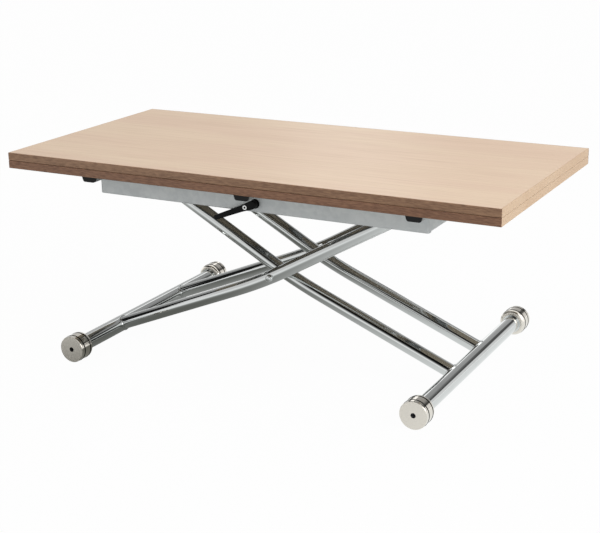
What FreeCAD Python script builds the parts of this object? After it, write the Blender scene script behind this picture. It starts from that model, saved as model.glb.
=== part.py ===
import FreeCAD, Part
import math
import os
import re
import Sketcher

# Coffee table that lifts to dining height on two pairs of crossed, gently bent legs.
# The double top slides forward on three guides and its upper leaf then unfolds to the back.
# Origin on the floor under the middle of the top, X along the top, Y to the back, Z up, millimetres.

SIZES = {
    # top
    "leaf_length": 1200,
    "leaf_width": 600,
    "leaf_thickness": 18,
    "leaf_gap": 0.6,
    "edging_thickness": 2,
    "edging_ease": 1,
    # hinges between the leaves
    "hinge_spacing": 450,
    "hinge_length": 60,
    "hinge_reach": 28,
    "hinge_plate": 1.5,
    "hinge_offset": 0.2,
    "knuckle_diameter": 8,
    "knuckle_length": 20,
    "knuckle_clearance": 0.6,
    "hinge_pin_diameter": 4,
    "hinge_screw_spacing": 36,
    "hinge_screw_inset": 14,
    # wood screws
    "screw_head_diameter": 7,
    "screw_head_height": 1.2,
    "screw_diameter": 3.5,
    "screw_length": 11,
    # slide guides and runners
    "guide_margin": 11,
    "guide_inset": 38,
    "guide_width": 44,
    "guide_foot_width": 31,
    "guide_height": 22,
    "guide_corner": 6,
    "guide_cap": 5,
    "slot_neck_width": 12,
    "slot_neck_depth": 5,
    "slot_head_width": 24,
    "slot_head_height": 7,
    "slide_clearance": 0.3,
    "runner_length": 200,
    "runner_inset": 50,
    "runner_screw_spacing": 140,
    # frame
    "frame_overhang": 187,
    "frame_width": 408,
    "rail_height": 39,
    "rail_wall": 3,
    "rail_corner": 6,
    "rail_return": 5,
    "rail_land": 0.5,
    "end_rail_rise": 4,
    "track_depth": 24,
    "track_wall": 2,
    "track_end_gap": 1,
    "crossbar_width": 30,
    "crossbar_thickness": 4,
    # crossed legs
    "pivot_offset": 3,
    "foot_spread": 99,
    "lower_rise": 183,
    "shaft_margin": 79,
    "upper_rise": 188,
    "knee_run": 36,
    "bend_radius": 1200,
    "leg_diameter": 32,
    "leg_wall": 2,
    "inner_leg_spacing": 168,
    "sleeve_diameter": 34,
    "sleeve_length": 38,
    "shaft_diameter": 12,
    "shaft_end_gap": 1,
    "running_clearance": 0.05,
    "side_clearance": 0.3,
    # central pivots
    "pivot_bolt_diameter": 10,
    "pivot_head_diameter": 15,
    "pivot_head_height": 6,
    "pivot_nut_width": 16,
    "pivot_nut_height": 7,
    "spacer_diameter": 22,
    "spacer_length": 16.7,
    # rollers and fixed blocks
    "roller_play": 0.4,
    "roller_width": 18,
    "block_length": 34,
    # feet and wheels
    "foot_diameter": 38,
    "foot_wall": 2,
    "collar_diameter": 44,
    "collar_thickness": 4,
    "bush_depth": 22,
    "axle_diameter": 12,
    "axle_screw_diameter": 6,
    "axle_screw_depth": 16,
    "axle_head_diameter": 11,
    "axle_head_height": 4,
    "axle_head_sink": 2,
    "hex_socket_width": 5,
    "hex_socket_depth": 2.5,
    "wheel_track": 662,
    "wheel_diameter": 64,
    "wheel_width": 43,
    "wheel_gap": 0.5,
    "hub_wall": 6,
    "wheel_ring_proud": 0.6,
    "wheel_ring_section": 4,
    "wheel_ring_inset": 11,
    "wheel_ring_spacing": 21,
    "wheel_face_ease": 1.2,
    "wheel_shoulder": 7,
    # locking gas spring
    "gas_diameter": 22,
    "gas_wall": 2,
    "gas_gland": 12,
    "gas_setback": 22,
    "gas_end_gap": 12,
    "gas_eye_diameter": 24,
    "gas_eye_width": 16,
    "gas_neck_diameter": 14,
    "gas_plug": 8,
    "gas_rod_diameter": 8,
    "piston_depth": 74,
    "piston_length": 10,
    "piston_play": 0.08,
    "head_length": 46,
    "head_front": 30,
    "head_width": 26,
    "head_height": 26,
    "rod_seat": 10,
    # release lever, crank and rod
    "lever_offset": 1.5,
    "lever_droop": 22.5,
    "lever_length": 107.5,
    "lever_boss_diameter": 19,
    "lever_boss_depth": 13,
    "lever_arm_depth": 10,
    "lever_shoulder_run": 30,
    "lever_shoulder_width": 14.5,
    "lever_neck_run": 62,
    "lever_neck_width": 12.5,
    "lever_tip_width": 11,
    "lever_gap": 0.4,
    "lever_shaft_diameter": 10,
    "lever_screw_run": 20,
    "lever_screw_diameter": 10,
    "lever_screw_height": 2,
    "lever_screw_hollow": 5,
    "lever_bush_diameter": 16,
    "lever_bush_flange": 22,
    "lever_bush_rim": 2,
    "crank_radius": 14,
    "crank_width": 12,
    "crank_thickness": 7,
    "crank_pin_diameter": 5,
    "crank_slot_play": 0.4,
    "crank_slot_rise": 1.5,
    "release_lane": 34,
    "release_eye_length": 12,
    "release_eye_height": 15,
    "release_eye_width": 6,
    "release_rod_diameter": 4,
    "release_lug_length": 12,
    "release_lug_height": 14,
    # extra length that lets a cutter pass clean through
    "cut_overrun": 1,
}

# Places worked out from the sizes above
PLACES = {
    "frame_length": "leaf_length - 2 * frame_overhang",
    "guide_length": "leaf_width - 2 * guide_inset",
    "guide_spacing": "(frame_length / 2 - guide_margin)",
    "upper_run": "(frame_length / 2 - shaft_margin)",
    "foot_reach": "(upper_run + foot_spread)",
    "outer_leg_spacing": "(inner_leg_spacing + 2 * (leg_diameter + spacer_length + side_clearance))",
    "gas_length": "(upper_run - gas_setback - gas_end_gap)",
    "piston_seat": "(gas_setback + gas_length - piston_depth)",
    "gas_rod_reach": "2 * upper_run - piston_seat",
    "axle_height": "wheel_diameter / 2",
    "pivot_height": "axle_height + lower_rise",
    "shaft_height": "pivot_height + upper_rise",
    "left_axle": "pivot_offset - foot_reach",
    "right_axle": "pivot_offset + foot_reach",
    "fixed_shaft": "pivot_offset + upper_run",
    "carriage_shaft": "pivot_offset - upper_run",
    "upper_arm": "sqrt(upper_run^2 + upper_rise^2)",
    "lower_arm": "sqrt(foot_reach^2 + lower_rise^2)",
    "upper_angle": "atan(upper_rise / upper_run)",
    "knee_angle": "upper_angle - atan(lower_rise / foot_reach)",
    "foot_back": "lower_arm * cos(knee_angle)",
    "foot_lift": "lower_arm * sin(knee_angle)",
    "turn_angle": "atan(foot_lift / (foot_back - knee_run))",
    "bend_start": "bend_radius * tan(turn_angle / 2) - knee_run",
    "rail_top": "shaft_height + rail_height / 2",
    "rail_bottom": "shaft_height - rail_height / 2",
    "rail_back": "frame_width / 2 - rail_wall",
    "rail_edge": "rail_wall - rail_land",
    "track_length": "frame_length - 2 * rail_corner - 2 * track_end_gap",
    "track_inside": "rail_height - 2 * track_wall",
    "guide_top": "rail_top + guide_height",
    "lower_bottom": "guide_top + slide_clearance",
    "lower_top": "lower_bottom + leaf_thickness",
    "upper_bottom": "lower_top + leaf_gap",
    "hinge_height": "lower_top + leaf_gap / 2",
    "hinge_line": "leaf_width / 2 + hinge_offset",
    "plate_edge": "hinge_line - knuckle_diameter / 2 - slide_clearance",
    "shaft_span": "2 * (rail_back - track_wall - shaft_end_gap)",
    "wheel_inside": "wheel_track / 2 - wheel_width",
    "foot_length": "2 * (wheel_inside - wheel_gap - collar_thickness)",
    "screw_reach": "axle_head_height + hub_wall + 2 * side_clearance",
    "axle_span": "wheel_track - 2 * (axle_head_sink + screw_reach)",
    "axle_bore": "axle_diameter + 2 * running_clearance",
    "shaft_bore": "shaft_diameter + 2 * running_clearance",
    "release_height": "shaft_height - crank_radius",
    "lever_front": "frame_width / 2 + lever_bush_rim + lever_gap",
    "head_left": "fixed_shaft - head_front",
}

doc = FreeCAD.newDocument("LiftTable")
sheet = doc.addObject("Spreadsheet::Sheet", "Sizes")
for row, (alias, number) in enumerate(SIZES.items(), start=1):
    sheet.set(f"A{row}", alias)
    sheet.set(f"B{row}", str(number))
    sheet.setAlias(f"B{row}", alias)
doc.recompute()

NODES = []
# Coordinates closer than this count as the same
SAME = 1e-6
TURNS = {
    "X": FreeCAD.Rotation(FreeCAD.Vector(0, 1, 0), 90),
    "Y": FreeCAD.Rotation(FreeCAD.Vector(1, 0, 0), -90),
    "Z": FreeCAD.Rotation(),
}
FRONT, BACK = "-1", "1"
LEFT, RIGHT = "-1", "1"


def formula(text):
    """Writes the words of a size or place as references to the sheet."""
    def cell(match):
        word = match.group()
        return f"({formula(PLACES[word])})" if word in PLACES else f"Sizes.{word}"
    return re.sub(r"[a-z]+(?:_[a-z]+)+", cell, str(text))


def amount(text):
    """The number that a formula gives now."""
    result = sheet.evalExpression(formula(text))
    return float(getattr(result, "Value", result))


def bind(obj, **properties):
    for name, text in properties.items():
        obj.setExpression(name, formula(text))


def place(obj, at, turn=None):
    if turn:
        obj.Placement = FreeCAD.Placement(FreeCAD.Vector(), turn)
    for axis, text in zip("xyz", at):
        obj.setExpression(f"Placement.Base.{axis}", formula(text))
    return obj


def node(label, obj):
    """Names a finished sub-part."""
    obj.Label = label
    NODES.append(obj)
    return obj


# Solids and their combinations

def box(length, width, height, at):
    obj = doc.addObject("Part::Box", "Block")
    bind(obj, Length=length, Width=width, Height=height)
    return place(obj, at)


def cylinder(diameter, length, at, along="Z"):
    obj = doc.addObject("Part::Cylinder", "Round")
    bind(obj, Radius=f"({diameter}) / 2", Height=length)
    return place(obj, at, TURNS[along])


def drill(diameter, length, at, along="Z"):
    """A round cutter that runs past both ends of the length to be bored."""
    shift = dict(zip("XYZ", at))
    shift[along] = f"{shift[along]} - cut_overrun"
    return cylinder(diameter, f"{length} + 2 * cut_overrun", shift.values(), along)


def fuse(*shapes):
    obj = doc.addObject("Part::MultiFuse", "Joined")
    obj.Shapes = list(shapes)
    return obj


def group(*shapes):
    obj = doc.addObject("Part::Compound", "Set")
    obj.Links = list(shapes)
    return obj


def cut(base, *tools):
    obj = doc.addObject("Part::Cut", "Trimmed")
    obj.Base = base
    obj.Tool = tools[0] if len(tools) == 1 else group(*tools)
    return obj


def tube(outer, inner, length, at, along="Z"):
    return cut(cylinder(outer, length, at, along), drill(inner, length, at, along))


# Bodies drawn from sketches

def sketch(body, role, name):
    obj = body.newObject("Sketcher::SketchObject", name)
    plane = next(feature for feature in body.Origin.OriginFeatures if feature.Role == role)
    obj.AttachmentSupport = (plane, [""])
    obj.MapMode = "FlatFace"
    return obj


def fix(drawing, kind, shape, point, text):
    """Holds one coordinate of a point at a formula, measured from the sketch's origin."""
    index = drawing.addConstraint(Sketcher.Constraint(kind, -1, 1, shape, point, amount(text)))
    drawing.setExpression(f"Constraints[{index}]", formula(text))


def polygon(drawing, points):
    corners = [FreeCAD.Vector(amount(x), amount(y), 0) for x, y in points]
    for first, second in zip(corners, corners[1:] + corners[:1]):
        drawing.addGeometry(Part.LineSegment(first, second))
    for index, (x, y) in enumerate(points):
        following = (index + 1) % len(points)
        drawing.addConstraint(Sketcher.Constraint("Coincident", index, 2, following, 1))
        fix(drawing, "DistanceX", index, 1, x)
        fix(drawing, "DistanceY", index, 1, y)


def circle(drawing, diameter, x="0", y="0"):
    centre = FreeCAD.Vector(amount(x), amount(y), 0)
    normal = FreeCAD.Vector(0, 0, 1)
    index = drawing.addGeometry(Part.Circle(centre, normal, amount(f"({diameter}) / 2")))
    fix(drawing, "DistanceX", index, 3, x)
    fix(drawing, "DistanceY", index, 3, y)
    radius = drawing.addConstraint(Sketcher.Constraint("Radius", index, amount(f"({diameter}) / 2")))
    drawing.setExpression(f"Constraints[{radius}]", formula(f"({diameter}) / 2"))


def pad(body, drawing, length):
    obj = body.newObject("PartDesign::Pad", "Pad")
    obj.Profile = drawing
    obj.SideType = "Symmetric"
    bind(obj, Length=length)
    return obj


def pierce(body, drawing):
    obj = body.newObject("PartDesign::Pocket", "Holes")
    obj.Profile = drawing
    obj.Type = "ThroughAll"
    obj.SideType = "Symmetric"
    return obj


def spin(body, drawing):
    obj = body.newObject("PartDesign::Revolution", "Turned")
    obj.Profile = drawing
    obj.ReferenceAxis = (drawing, ["V_Axis"])
    obj.Angle = 360
    return obj


def round_edges(body, feature, radius, wanted):
    """Rounds the edges of the last feature whose middle point is wanted."""
    doc.recompute()
    names = []
    for number, edge in enumerate(feature.Shape.Edges, start=1):
        middle = edge.valueAt((edge.FirstParameter + edge.LastParameter) / 2)
        if wanted(edge, middle):
            names.append(f"Edge{number}")
    obj = body.newObject("PartDesign::Fillet", "Rounded")
    obj.Base = (feature, names)
    bind(obj, Radius=radius)
    return obj


def near(one, other):
    return abs(one - other) < SAME


# Top

def edging(at_y, bottom, facing):
    """A strip for a long side, eased along its two outer edges."""
    body = doc.addObject("PartDesign::Body", "Edging")
    drawing = sketch(body, "YZ_Plane", "EdgingSection")
    out = f"{facing} * edging_thickness"
    eased = f"{facing} * (edging_thickness - edging_ease)"
    polygon(drawing, [
        ("0", "0"),
        (eased, "0"),
        (out, "edging_ease"),
        (out, "leaf_thickness - edging_ease"),
        (eased, "leaf_thickness"),
        ("0", "leaf_thickness"),
    ])
    pad(body, drawing, "leaf_length")
    return place(body, ("0", at_y, bottom))


def hinge_places():
    return [f"{share} * hinge_spacing" for share in (-1, 0, 1)]


def knuckle_rooms():
    """Round notches that clear the knuckles along both rear edges."""
    length = "hinge_length + 2 * side_clearance"
    across = "knuckle_diameter + 2 * knuckle_clearance"
    return [
        cylinder(across, length, (f"{x} - ({length}) / 2", "hinge_line", "hinge_height"), "X")
        for x in hinge_places()
    ]


def plate_rooms(bottom):
    """Recesses that take the hinge plates flush with the leaf's inner face."""
    return [
        box("hinge_length", "hinge_reach + hinge_offset + cut_overrun", "hinge_plate",
            (f"{x} - hinge_length / 2", "leaf_width / 2 - hinge_reach", bottom))
        for x in hinge_places()
    ]


def hinge_plates(bottom, spans):
    """Plates with the knuckles that stand at the given spans along each hinge."""
    plates = []
    for x in hinge_places():
        pieces = [box("hinge_length", "plate_edge - leaf_width / 2 + hinge_reach", "hinge_plate",
                      (f"{x} - hinge_length / 2", "leaf_width / 2 - hinge_reach", bottom))]
        for start, length in spans:
            left = f"{x} + {start}"
            tongue = box(length, "hinge_line - plate_edge", "hinge_plate", (left, "plate_edge", bottom))
            knuckle = cylinder("knuckle_diameter", length, (left, "hinge_line", "hinge_height"), "X")
            pieces += [tongue, knuckle]
        bore = drill("hinge_pin_diameter + 2 * running_clearance", "hinge_length",
                     (f"{x} - hinge_length / 2", "hinge_line", "hinge_height"), "X")
        plates.append(cut(fuse(*pieces), bore))
    return plates


def wood_screw(x, y, head_face, way):
    """A flush screw whose head lies in head_face and whose shank points up (1) or down (-1)."""
    head = cylinder("screw_head_diameter", "screw_head_height",
                    (x, y, head_face if way > 0 else f"{head_face} - screw_head_height"))
    shank = cylinder("screw_diameter", "screw_length",
                     (x, y, head_face if way > 0 else f"{head_face} - screw_length"))
    return fuse(head, shank)


def hinge_screws(head_face, way):
    return [
        wood_screw(f"{x} + {side} * hinge_screw_spacing / 2", "plate_edge - hinge_screw_inset",
                   head_face, way)
        for x in hinge_places() for side in (-1, 1)
    ]


def leaf(name, bottom, plate_bottom, plates, screws):
    """One leaf: board, long and short edging, hinge plates; every recess follows what lies in it."""
    board = box("leaf_length - 2 * edging_thickness", "leaf_width - 2 * edging_thickness", "leaf_thickness",
                ("edging_thickness - leaf_length / 2", "edging_thickness - leaf_width / 2", bottom))
    side = "leaf_width / 2 - edging_thickness"
    front = edging(f"-1 * ({side})", bottom, FRONT)
    back = edging(side, bottom, BACK)
    ends = [
        box("edging_thickness", "leaf_width - 2 * edging_thickness", "leaf_thickness",
            (start, "edging_thickness - leaf_width / 2", bottom))
        for start in ("-1 * leaf_length / 2", "leaf_length / 2 - edging_thickness")
    ]
    node(f"{name}_leaf_board", cut(board, *knuckle_rooms(), *plate_rooms(plate_bottom), screws))
    node(f"{name}_long_edges", group(front, cut(back, *knuckle_rooms(), *plate_rooms(plate_bottom))))
    node(f"{name}_short_edges", group(*ends))
    node(f"{name}_hinge_plates", cut(group(*plates), screws))


def runner(x, screws):
    """T-shaped bar under the lower leaf that rides in a guide's slot."""
    body = doc.addObject("PartDesign::Body", "Runner")
    drawing = sketch(body, "XZ_Plane", "RunnerSection")
    neck = "(slot_neck_width / 2 - slide_clearance)"
    head = "(slot_head_width / 2 - slide_clearance)"
    under = "-1 * (slot_neck_depth + 2 * slide_clearance)"
    foot = "-1 * (slot_neck_depth + slot_head_height)"
    polygon(drawing, [
        (f"-1 * {neck}", "0"), (neck, "0"), (neck, under), (head, under),
        (head, foot), (f"-1 * {head}", foot), (f"-1 * {head}", under), (f"-1 * {neck}", under),
    ])
    pad(body, drawing, "runner_length")
    place(body, (x, "leaf_width / 2 - runner_inset - runner_length / 2", "lower_bottom"))
    return cut(body, *screws)


def guide_places():
    return [f"{share} * guide_spacing" for share in (-1, 0, 1)]


def make_top():
    runner_foot = "lower_bottom - slot_neck_depth - slot_head_height"
    runner_middle = "leaf_width / 2 - runner_inset - runner_length / 2"
    runner_screws = []
    runners = []
    for x in guide_places():
        pair = [
            wood_screw(x, f"{runner_middle} + {side} * runner_screw_spacing / 2", runner_foot, 1)
            for side in (-1, 1)
        ]
        for screw in pair:
            bind(screw.Shapes[1], Height="screw_length + slot_neck_depth + slot_head_height")
        runner_screws += pair
        runners.append(runner(x, pair))
    node("runners", group(*runners))
    lower_screws = node("lower_leaf_screws", group(*hinge_screws("lower_top", -1), *runner_screws))
    upper_screws = node("upper_hinge_screws", group(*hinge_screws("upper_bottom", 1)))

    outer = "knuckle_length - side_clearance"
    lower_spans = [("-1 * hinge_length / 2", outer), (f"hinge_length / 2 - ({outer})", outer)]
    upper_spans = [("-1 * knuckle_length / 2", "knuckle_length")]
    lower_plates = hinge_plates("lower_top - hinge_plate", lower_spans)
    upper_plates = hinge_plates("upper_bottom", upper_spans)
    leaf("lower", "lower_bottom", "lower_top - hinge_plate", lower_plates, lower_screws)
    leaf("upper", "upper_bottom", "upper_bottom", upper_plates, upper_screws)
    node("hinge_pins", group(*[
        cylinder("hinge_pin_diameter", "hinge_length",
                 (f"{x} - hinge_length / 2", "hinge_line", "hinge_height"), "X")
        for x in hinge_places()
    ]))


# Slide guides

def guide(label, x):
    """Bar with sloping sides, rounded lower corners and a T slot along its top."""
    body = doc.addObject("PartDesign::Body", "Guide")
    drawing = sketch(body, "XZ_Plane", "GuideSection")
    foot, side = "guide_foot_width / 2", "guide_width / 2"
    neck, head = "slot_neck_width / 2", "slot_head_width / 2"
    under = "guide_height - slot_neck_depth"
    floor = f"{under} - slot_head_height - slide_clearance"
    half = [(side, "guide_height"), (neck, "guide_height"), (neck, under), (head, under), (head, floor)]
    polygon(drawing, [(f"-1 * ({foot})", "0"), (foot, "0"), *half,
                      *[(f"-1 * ({x_half})", z) for x_half, z in reversed(half)]])
    bar = pad(body, drawing, "guide_length - 2 * guide_cap")
    round_edges(body, bar, "guide_corner", lambda edge, middle: near(middle.y, 0) and near(middle.z, 0))
    place(body, (x, "0", "rail_top"))
    return node(label, cut(body, *guide_screw_shapes([x])))


def guide_cap(x, side):
    body = doc.addObject("PartDesign::Body", "Cap")
    drawing = sketch(body, "XZ_Plane", "CapSection")
    polygon(drawing, [
        ("-1 * guide_foot_width / 2", "0"), ("guide_foot_width / 2", "0"),
        ("guide_width / 2", "guide_height"), ("-1 * guide_width / 2", "guide_height"),
    ])
    plate = pad(body, drawing, "guide_cap")
    round_edges(body, plate, "guide_corner", lambda edge, middle: near(middle.y, 0) and near(middle.z, 0))
    return place(body, (x, f"{side} * (guide_length - guide_cap) / 2", "rail_top"))


def guide_screw_shapes(places):
    """Screws from the floor of each slot down through the upper flange of both tracks."""
    floor = "rail_top + guide_height - slot_neck_depth - slot_head_height - slide_clearance"
    lane = "(rail_back - track_depth / 2)"
    screws = [wood_screw(x, f"{side} * {lane}", floor, -1) for x in places for side in (FRONT, BACK)]
    for screw in screws:
        length = f"{floor} - rail_top + track_wall"
        bind(screw.Shapes[1], Height=length)
        screw.Shapes[1].setExpression("Placement.Base.z", formula(f"{floor} - ({length})"))
    return screws


# Frame

def bent_rail(label, side, holes=()):
    """Long rail bent from a strip: a flat web, round corners, a short run back and a rolled lower edge."""
    body = doc.addObject("PartDesign::Body", "Rail")
    drawing = sketch(body, "XY_Plane", "RailOutline")
    outside, inside = "frame_length / 2", "frame_length / 2 - rail_wall"
    face, lining = f"{side} * frame_width / 2", f"{side} * rail_back"
    tail = f"{side} * (frame_width / 2 - rail_corner - rail_return)"
    half = [(outside, face), (outside, tail), (inside, tail), (inside, lining)]
    polygon(drawing, half + [(f"-1 * ({x})", y) for x, y in reversed(half)])
    strip = pad(body, drawing, "rail_height")

    def upright(x, y):
        """Finds the upright edges at both ends of that line."""
        return lambda edge, middle: (near(middle.z, 0) and near(abs(middle.x), amount(x))
                                     and near(middle.y, amount(y)))

    def low_and_outside(edge, middle):
        """Finds the lower edges of the face, its corners and its ends."""
        out = FreeCAD.Vector(abs(middle.x) - amount("frame_length / 2 - rail_corner"),
                             abs(middle.y) - amount("frame_width / 2 - rail_corner"), 0)
        return near(middle.z, amount("-1 * rail_height / 2")) and (
            near(max(out.x, out.y), amount("rail_corner")) or near(out.Length, amount("rail_corner")))

    bent = round_edges(body, strip, "rail_corner", upright(outside, face))
    lined = round_edges(body, bent, "rail_corner - rail_wall", upright(inside, lining))
    round_edges(body, lined, "rail_edge", low_and_outside)
    place(body, ("0", "0", "shaft_height"))
    return node(label, cut(body, *holes) if holes else body)


def end_rail(label, start):
    length = "frame_width - 2 * (rail_corner + rail_return)"
    return node(label, box("rail_wall", length, "rail_height - end_rail_rise",
                           (start, f"-1 * ({length}) / 2", "rail_bottom + end_rail_rise")))


def track(label, side, holes):
    """Channel inside a long rail, open to the middle, in which a roller runs."""
    web = "rail_back - track_depth" if side == BACK else "-1 * rail_back"
    hollow = "rail_back - track_depth - cut_overrun" if side == BACK else "track_wall - rail_back"
    outside = box("track_length", "track_depth", "rail_height",
                  ("-1 * track_length / 2", web, "rail_bottom"))
    inside = box("track_length + 2 * cut_overrun", "track_depth - track_wall + cut_overrun", "track_inside",
                 ("-1 * track_length / 2 - cut_overrun", hollow, "rail_bottom + track_wall"))
    return node(label, cut(outside, inside, *holes))


def make_frame():
    lever_hole = drill("lever_bush_diameter", "rail_wall + track_wall",
                       ("lever_offset", "-1 * frame_width / 2", "shaft_height"), "Y")
    bent_rail("front_rail", FRONT, [lever_hole])
    bent_rail("back_rail", BACK)
    end_rail("left_rail", "-1 * frame_length / 2")
    end_rail("right_rail", "frame_length / 2 - rail_wall")
    guide_screws = node("guide_screws", group(*guide_screw_shapes(guide_places())))
    track("front_track", FRONT, [lever_hole, guide_screws])
    track("back_track", BACK, [guide_screws])
    for label, x in zip(("left_guide", "middle_guide", "right_guide"), guide_places()):
        guide(label, x)
    node("guide_end_caps", group(*[guide_cap(x, side) for x in guide_places() for side in (FRONT, BACK)]))
    bar_length = "2 * (rail_back - track_wall)"
    node("middle_crossbar", box("crossbar_width", bar_length, "crossbar_thickness",
                                ("-1 * crossbar_width / 2", f"-1 * ({bar_length}) / 2",
                                 "rail_top - track_wall - crossbar_thickness")))
    node("fixed_shaft", cylinder("shaft_diameter", "shaft_span",
                                 ("fixed_shaft", "-1 * shaft_span / 2", "shaft_height"), "Y"))
    blocks = []
    for side in (FRONT, BACK):
        start = "rail_back - track_depth" if side == BACK else "track_wall - rail_back"
        block = box("block_length", "track_depth - track_wall", "track_inside",
                    ("fixed_shaft - block_length / 2", start, "shaft_height - track_inside / 2"))
        bore = cylinder("shaft_diameter", "shaft_span",
                        ("fixed_shaft", "-1 * shaft_span / 2", "shaft_height"), "Y")
        blocks.append(cut(block, bore))
    node("fixed_shaft_blocks", group(*blocks))


# Crossed legs

def leg(label, side, lane):
    """Bent tube with a cross sleeve at its top, drilled for the pivot and coped to its foot tube.

    It is drawn about its central pivot with the upper arm along X, and turned to its slope.
    """
    body = doc.addObject("PartDesign::Body", "Leg")
    spine = sketch(body, "XZ_Plane", "LegLine")
    top, start = f"{side} * upper_arm", f"{side} * bend_start"
    foot = (f"-1 * {side} * foot_back", "foot_lift")
    turn = math.radians(amount("turn_angle"))
    down = -math.pi / 2
    centre = FreeCAD.Vector(amount(start), amount("bend_radius"), 0)
    bend = Part.Circle(centre, FreeCAD.Vector(0, 0, 1), amount("bend_radius"))
    rising = side == RIGHT
    arc = Part.ArcOfCircle(bend, down - turn, down) if rising else Part.ArcOfCircle(bend, down, down + turn)
    bend_top, bend_foot = (2, 1) if rising else (1, 2)
    turned = arc.StartPoint if rising else arc.EndPoint
    top_point = FreeCAD.Vector(amount(top), 0, 0)
    start_point = FreeCAD.Vector(amount(start), 0, 0)
    foot_point = FreeCAD.Vector(amount(foot[0]), amount(foot[1]), 0)
    spine.addGeometry(Part.LineSegment(top_point, start_point))
    spine.addGeometry(arc)
    spine.addGeometry(Part.LineSegment(turned, foot_point))
    spine.addConstraint(Sketcher.Constraint("Tangent", 0, 2, 1, bend_top))
    spine.addConstraint(Sketcher.Constraint("Tangent", 1, bend_foot, 2, 1))
    spine.addConstraint(Sketcher.Constraint("PointOnObject", 0, 1, -1))
    spine.addConstraint(Sketcher.Constraint("Horizontal", 0))
    fix(spine, "DistanceX", 0, 1, top)
    fix(spine, "DistanceX", 0, 2, start)
    fix(spine, "DistanceX", 2, 2, foot[0])
    fix(spine, "DistanceY", 2, 2, foot[1])
    radius = spine.addConstraint(Sketcher.Constraint("Radius", 1, amount("bend_radius")))
    spine.setExpression(f"Constraints[{radius}]", formula("bend_radius"))

    section = sketch(body, "YZ_Plane", "TubeSection")
    section.setExpression("AttachmentOffset.Base.z", formula(top))
    circle(section, "leg_diameter")
    circle(section, "leg_diameter - 2 * leg_wall")
    doc.recompute()
    pipe = body.newObject("PartDesign::AdditivePipe", "Tube")
    pipe.Profile = section
    pipe.Spine = (spine, ["Edge1", "Edge2", "Edge3"])

    sleeve = sketch(body, "XZ_Plane", "SleeveSection")
    circle(sleeve, "sleeve_diameter", x=top)
    pad(body, sleeve, "sleeve_length")
    holes = sketch(body, "XZ_Plane", "HoleCentres")
    circle(holes, "shaft_bore", x=top)
    circle(holes, "pivot_bolt_diameter + 2 * running_clearance")
    circle(holes, "foot_diameter", *foot)
    pierce(body, holes)
    slope = FreeCAD.Rotation(FreeCAD.Vector(0, -int(side), 0), 1)
    place(body, ("pivot_offset", lane, "pivot_height"), slope)
    body.setExpression("Placement.Rotation.Angle", formula("upper_angle"))
    return node(label, body)


def make_pivots():
    """Bolt, nut and spacer where the legs cross, once on each side."""
    outer_face = "outer_leg_spacing / 2 + leg_diameter / 2"
    inner_face = "inner_leg_spacing / 2 - leg_diameter / 2 - side_clearance"
    fasteners, spacers = [], []

    def at(y):
        return ("pivot_offset", y, "pivot_height")

    for side in (FRONT, BACK):
        far = f"({outer_face} + pivot_head_height)"
        close = f"({inner_face} - pivot_nut_height)"
        low = f"-1 * {far}" if side == FRONT else close
        head_low = f"-1 * {far}" if side == FRONT else outer_face
        nut_low = f"-1 * ({inner_face})" if side == FRONT else close
        shank = cylinder("pivot_bolt_diameter", f"{far} - {close}", at(low), "Y")
        head = cylinder("pivot_head_diameter", "pivot_head_height", at(head_low), "Y")
        nut = doc.addObject("Part::Prism", "Nut")
        bind(nut, Circumradius="pivot_nut_width / 2 / cos(30 deg)", Height="pivot_nut_height")
        place(nut, at(nut_low), TURNS["Y"])
        thread = drill("pivot_bolt_diameter", "pivot_nut_height", at(nut_low), "Y")
        fasteners += [fuse(shank, head), cut(nut, thread)]
        spacer_low = ("leg_diameter / 2 - outer_leg_spacing / 2" if side == FRONT
                      else "inner_leg_spacing / 2 + leg_diameter / 2 + side_clearance")
        spacers.append(tube("spacer_diameter", "pivot_bolt_diameter + 2 * running_clearance",
                            "spacer_length", at(spacer_low), "Y"))
    node("pivot_bolts", group(*fasteners))
    node("pivot_spacers", group(*spacers))


def make_legs():
    pairs = (("outer", RIGHT, "outer_leg_spacing"), ("inner", LEFT, "inner_leg_spacing"))
    for label, side, spacing in pairs:
        leg(f"{label}_leg_front", side, f"-1 * {spacing} / 2")
        leg(f"{label}_leg_rear", side, f"{spacing} / 2")
    make_pivots()
    node("carriage_shaft", cylinder("shaft_diameter", "shaft_span",
                                    ("carriage_shaft", "-1 * shaft_span / 2", "shaft_height"), "Y"))
    for label, side in (("front_roller", FRONT), ("rear_roller", BACK)):
        start = "shaft_span / 2 - roller_width" if side == BACK else "-1 * shaft_span / 2"
        node(label, tube("track_inside - 2 * roller_play", "shaft_bore", "roller_width",
                         ("carriage_shaft", start, "shaft_height"), "Y"))


# Feet and wheels

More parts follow.
